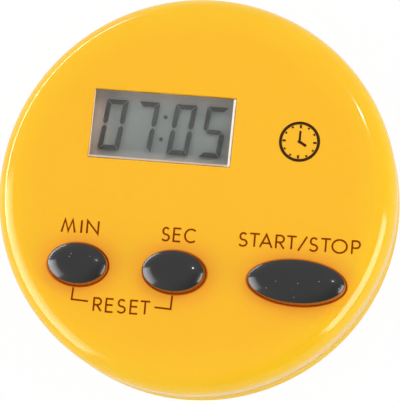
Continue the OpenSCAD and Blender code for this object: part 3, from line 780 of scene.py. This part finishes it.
def reflector_grey():
    """Grey foil behind the display, with painted light: paler and warmer by its edges, most at the left and
    top, making up for the shade of the window's walls and standing for the light that the orange case
    passes on.
    """
    f = Finish("reflector_grey")
    half_w, half_h = WIN_W / 2 + 0.8, WIN_H / 2 + 0.8
    middle = (0.43, 0.385, 0.445)
    # Painted light: paler, pinker colour by the left and top edges; the paler of the two ramps is kept
    left_painted_light = f.ramp(f.along("X", WIN_X - half_w, WIN_X + half_w),
                       [(0.0, (1.0, 0.64, 0.62)), (0.06, (1.0, 0.64, 0.62)), (0.15, (0.5, 0.43, 0.48)),
                        (0.25, middle), (0.85, middle), (1.0, (0.54, 0.41, 0.45))])
    top_painted_light = f.ramp(f.along("Y", WIN_Y + half_h, WIN_Y - half_h),
                      [(0.0, (0.95, 0.58, 0.47)), (0.08, (0.71, 0.53, 0.6)), (0.16, (0.62, 0.5, 0.56)),
                       (0.25, middle), (0.76, middle), (0.89, (0.85, 0.69, 0.78))])
    f.paint(f.blend(1.0, left_painted_light, top_painted_light, "LIGHTEN"))
    f.polish(0.3, 0.5, 0.6)
    f.grain(0.15, 0.002)
    return f.material


def floor_white():
    """Pale floor that shows the eye a white ground and still takes a soft shadow. Polished pieces see that
    white too, less so close to the case, where the floor lies in its shade."""
    f = Finish("floor_white", Roughness=0.9, IOR=1.2)
    f.mottle(200.0, (0.84, 0.84, 0.84), (0.86, 0.86, 0.86))
    path = f.add("ShaderNodeLightPath").outputs
    in_gloss = f.span(f.reach(), 1.05 * CASE_R * MM, 2.5 * CASE_R * MM, 0.15, WHITE, smooth=True)
    share = f.math("MULTIPLY", path["Is Camera Ray"], WHITE)
    for ray, part in (("Is Glossy Ray", in_gloss), ("Is Transmission Ray", WHITE)):
        share = f.math("MAXIMUM", share, f.math("MULTIPLY", path[ray], part))
    glow = f.add("ShaderNodeEmission")
    glow.inputs["Color"].default_value = (1.0, 1.0, 1.0, 1.0)
    f.cover(share, glow.outputs["Emission"])
    return f.material


def floor():
    """Wide flat ground just under the case, as a level grid."""
    reach, level, count = 3000.0, -0.05, 13
    x = np.linspace(-reach, reach, count)
    xy = np.stack(np.meshgrid(x, x), -1).reshape(-1, 2)
    mesh = bpy.data.meshes.new("floor")
    mesh.from_pydata((raised(xy, level) * MM).tolist(), [], grid_faces(count, count, False).tolist())
    mesh.materials.append(floor_white())
    ground = bpy.data.objects.new("floor", mesh)
    bpy.context.scene.collection.objects.link(ground)


def lamp(name, azimuth, lean, distance, width, height, watts, gloss_only):
    """Soft box that faces the middle of the case, lean degrees off the upright. gloss_only lights no matt
    surface, as a card that only shows in polished ones."""
    aim = np.array([0.0, 0.0, 7.0])
    a, t = np.radians([azimuth, lean])
    way = np.array([np.sin(t) * np.cos(a), np.sin(t) * np.sin(a), np.cos(t)])
    side = np.array([-np.sin(a), np.cos(a), 0.0])
    place = np.eye(4)
    place[:3, :3] = np.column_stack([side, np.cross(way, side), way])
    place[:3, 3] = (way * distance + aim) * MM
    light = bpy.data.lights.new(name, "AREA")
    light.shape = "RECTANGLE"
    light.size, light.size_y = width * MM, height * MM
    light.energy = watts
    made = bpy.data.objects.new(name, light)
    made.matrix_world = Matrix(place.tolist())
    made.visible_diffuse = not gloss_only
    bpy.context.scene.collection.objects.link(made)


def camera():
    """Camera that leans to the lower right, with the case turned a little clockwise in the picture."""
    lean, azimuth, roll = np.radians([12.0, -51.0, 5.85])
    distance = 450.0
    focus_px = 2554.7
    aim_right, aim_above = 0.149, -0.323
    way = np.array([np.sin(lean) * np.cos(azimuth), np.sin(lean) * np.sin(azimuth), np.cos(lean)])
    across = np.cross(-way, [0.0, 1.0, 0.0])
    across /= np.linalg.norm(across)
    up = np.cross(across, -way)
    right = np.cos(roll) * across + np.sin(roll) * up
    above = np.cos(roll) * up - np.sin(roll) * across
    place = np.eye(4)
    place[:3, :3] = np.column_stack([right, above, way])
    aim = np.array([0, 0, CASE_H / 2]) + aim_right * right + aim_above * above
    place[:3, 3] = (aim + distance * way) * MM
    data = bpy.data.cameras.new("camera")
    data.sensor_fit = "HORIZONTAL"
    data.sensor_width = 36.0
    data.lens = focus_px * data.sensor_width / PICTURE_W
    made = bpy.data.objects.new("camera", data)
    made.matrix_world = Matrix(place.tolist())
    bpy.context.scene.collection.objects.link(made)
    bpy.context.scene.camera = made


def studio(overhead, horizon, dim):
    """White surroundings, a little brighter overhead than at the horizon, dimmed to the lower right."""
    made = bpy.data.worlds.new("studio")
    made.use_nodes = True
    nodes = Nodes(made.node_tree)
    way = nodes.add("ShaderNodeTexCoord").outputs["Generated"]
    parts = nodes.add("ShaderNodeSeparateXYZ")
    nodes.put(way, parts.inputs["Vector"])
    level = nodes.span(parts.outputs["Z"], 0.0, 0.7, horizon, overhead, smooth=True)
    facing = nodes.add("ShaderNodeVectorMath", operation="DOT_PRODUCT")
    nodes.put(way, facing.inputs[0])
    nodes.put((0.82, -0.57, 0.0), facing.inputs[1])
    shade = nodes.span(facing.outputs["Value"], 0.2, 1.0, 1.0, dim, smooth=True)
    back = made.node_tree.nodes["Background"]
    back.inputs["Color"].default_value = (1.0, 1.0, 1.0, 1.0)
    nodes.put(nodes.math("MULTIPLY", level, shade), back.inputs["Strength"])
    bpy.context.scene.world = made


orange = case_orange("case_orange", ior=1.42, smooth=0.1, rough=0.15)
charcoal = key_charcoal()
painted_reflection_wall = key_wall_painted_reflection()
# Painted glow: the lips and walls of the key openings in a deeper, redder orange than the case
painted_glow_opening = plain("opening_painted_glow", (0.68, 0.18, 0.004), (0.74, 0.21, 0.005), 0.2, size=0.8, bump=0.001)
front_cover(orange, painted_glow_opening)
silicone = plain("silicone_white", *tone(0.85, 0.86, 0.85), 0.5, Subsurface_Weight=0.2)
for key in KEYS:
    key_cap(key, charcoal, painted_reflection_wall)
    return_dome(key, silicone)
window_lens(clear("lens_clear", (0.97, 0.98, 0.975), ior=1.3), lens_painted_highlight())
printed_words(ink("ink_brown", *tone(0.53, 0.2, 0.0)))
clock_sign(ink("ink_dark", *tone(0.26, 0.15, 0.1)))

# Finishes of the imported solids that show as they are
METAL = dict(Metallic=1.0)
FINISHES = {
    case_orange("back_orange", ior=1.3, smooth=0.42, rough=0.5): ["back_cover", "battery_door"],
    clear("display_glass", (0.97, 0.985, 0.975), see_through=0.92, ior=1.2): [
        "lcd_front_glass", "lcd_rear_glass"],
    clear("polariser_grey", (0.86, 0.88, 0.85), see_through=0.9, ior=1.2): ["front_polariser"],
    plain("display_bars", *tone(0.32, 0.295, 0.315), 0.6): ["lcd_segments"],
    plain("seal_grey", *tone(0.6, 0.61, 0.59), 0.6): ["lcd_seal"],
    reflector_grey(): ["reflector"],
    plain("holder_white", *tone(0.93, 0.93, 0.91, 0.03), 0.5): ["display_holder"],
    plain("connector_pink", *tone(0.85, 0.45, 0.5), 0.6): ["zebra_connector"],
    plain("board_green", *tone(0.1, 0.38, 0.18), 0.35): ["circuit_board"],
    plain("pad_gold", *tone(0.85, 0.66, 0.3), 0.3, **METAL): ["contact_pads"],
    plain("resin_black", *tone(0.08, 0.08, 0.08), 0.45): ["chip_blob", "transistor"],
    plain("nickel", *tone(0.8, 0.79, 0.77), 0.25, **METAL): [
        "crystal", "battery_can", "battery_cap", "positive_contact", "negative_contact"],
    plain("ferrite_grey", *tone(0.22, 0.22, 0.23), 0.5): ["boost_inductor", "magnet"],
    plain("chip_tan", *tone(0.78, 0.7, 0.56), 0.5): ["chip_components"],
    silicone: ["min_plunger", "sec_plunger", "start_stop_plunger", "keypad_mat"],
    plain("carbon_black", *tone(0.1, 0.1, 0.1), 0.7): ["min_pill", "sec_pill", "start_stop_pill"],
    plain("brass_sheet", *tone(0.86, 0.7, 0.34), 0.28, **METAL): ["buzzer_plate"],
    plain("ceramic_cream", *tone(0.88, 0.85, 0.76), 0.4): ["buzzer_ceramic"],
    plain("wire_red", *tone(0.75, 0.1, 0.08), 0.4): ["buzzer_lead_red", "battery_lead_red"],
    plain("wire_black", *tone(0.1, 0.1, 0.1), 0.4): ["buzzer_lead_black", "battery_lead_black"],
    plain("gasket_grey", *tone(0.28, 0.28, 0.29), 0.5): ["battery_gasket"],
    plain("screw_zinc", *tone(0.72, 0.72, 0.72), 0.3, **METAL): ["case_screws", "board_screws"],
}
for finish, names in FINISHES.items():
    for name in names:
        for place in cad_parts[name].material_slots:
            place.material = finish

# Lamps: azimuth, lean, distance, width, height, watts, and whether only polished pieces see them
LAMPS = {
    "left_panel": (196, 68, 550, 490, 400, 0.6, False),
    "left_card_0": (202, 68, 551, 600, 420, 1.3, True),
    "left_card_1": (202, 72, 552, 600, 330, 1.1, True),
    "left_card_2": (202, 77, 553, 600, 240, 1.1, True),
    "low_card": (152, 87, 560, 760, 40, 1.5, True),
    "right_box": (-17, 74, 520, 420, 240, 0.7, False),
    "right_card": (-17, 74, 521, 420, 240, 1.7, True),
    "spark": (48, 40, 700, 25, 18, 0.45, False),
}
floor()
for name, setting in LAMPS.items():
    lamp(name, *setting)
camera()
studio(overhead=0.95, horizon=0.88, dim=0.5)
bpy.context.scene.view_settings.view_transform = "Standard"
bpy.context.scene.cycles.transparent_max_bounces = 32
